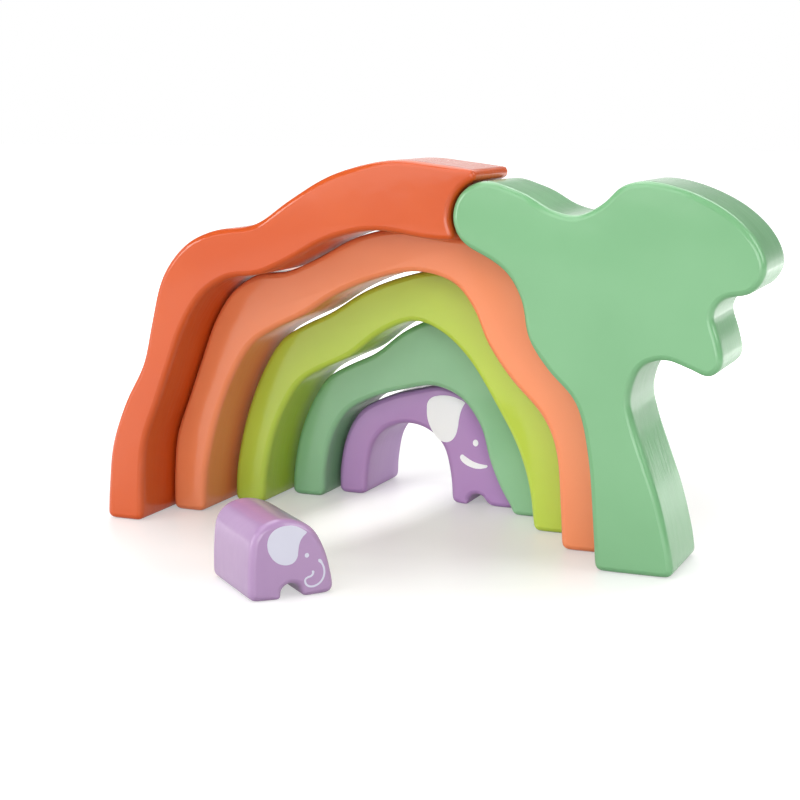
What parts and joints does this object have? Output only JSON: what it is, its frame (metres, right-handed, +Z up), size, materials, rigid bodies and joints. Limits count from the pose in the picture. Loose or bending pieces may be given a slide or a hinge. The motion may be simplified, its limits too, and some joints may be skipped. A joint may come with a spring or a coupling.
{
  "type": "nesting elephant block set",
  "caption": "Painted wooden nesting and stacking blocks: hill and tree outside, wavy arches inside, a mother elephant with a tunnel and a loose baby elephant.",
  "frame": {"origin": "middle of the whole set's footprint on the table, at table height", "axes": "+X along the set from the hill's foot to the tree, +Y from the printed fronts to the back, +Z up"},
  "size_m": [0.2746, 0.2072, 0.1527],
  "materials": {
    "hill_paint": "satin paint",
    "tree_paint": "satin paint",
    "peach_paint": "satin paint",
    "lime_paint": "satin paint",
    "green_paint": "satin paint",
    "mother_paint": "satin paint",
    "baby_paint": "satin paint"
  },
  "bodies": {
    "tree": {"tree_block": "tree_paint"},
    "hill": {"hill_block": "hill_paint"},
    "peach": {"peach_arch": "peach_paint"},
    "lime": {"lime_arch": "lime_paint"},
    "green": {"green_arch": "green_paint"},
    "mother": {"mother_elephant": "mother_paint"},
    "baby": {"baby_elephant": "baby_paint"}
  },
  "joints": [
    {"name": "hill_slide", "type": "slide", "parent": "tree", "child": "hill", "axis": [0, 1, 0], "range_m": [-0.04, 0.04]},
    {"name": "peach_slide", "type": "slide", "parent": "tree", "child": "peach", "axis": [0, 1, 0], "range_m": [-0.0245, 0.0155]},
    {"name": "lime_slide", "type": "slide", "parent": "tree", "child": "lime", "axis": [0, 1, 0], "range_m": [-0.048, 0.0165]},
    {"name": "green_slide", "type": "slide", "parent": "tree", "child": "green", "axis": [0, 1, 0], "range_m": [-0.07, 0.018]},
    {"name": "mother_slide", "type": "slide", "parent": "tree", "child": "mother", "axis": [0, 1, 0], "range_m": [-0.081, 0.029]},
    {"name": "baby_slide", "type": "slide", "parent": "tree", "child": "baby", "axis": [0.6626, 0.749, 0], "range_m": [-0.04, 0.04]}
  ]
}
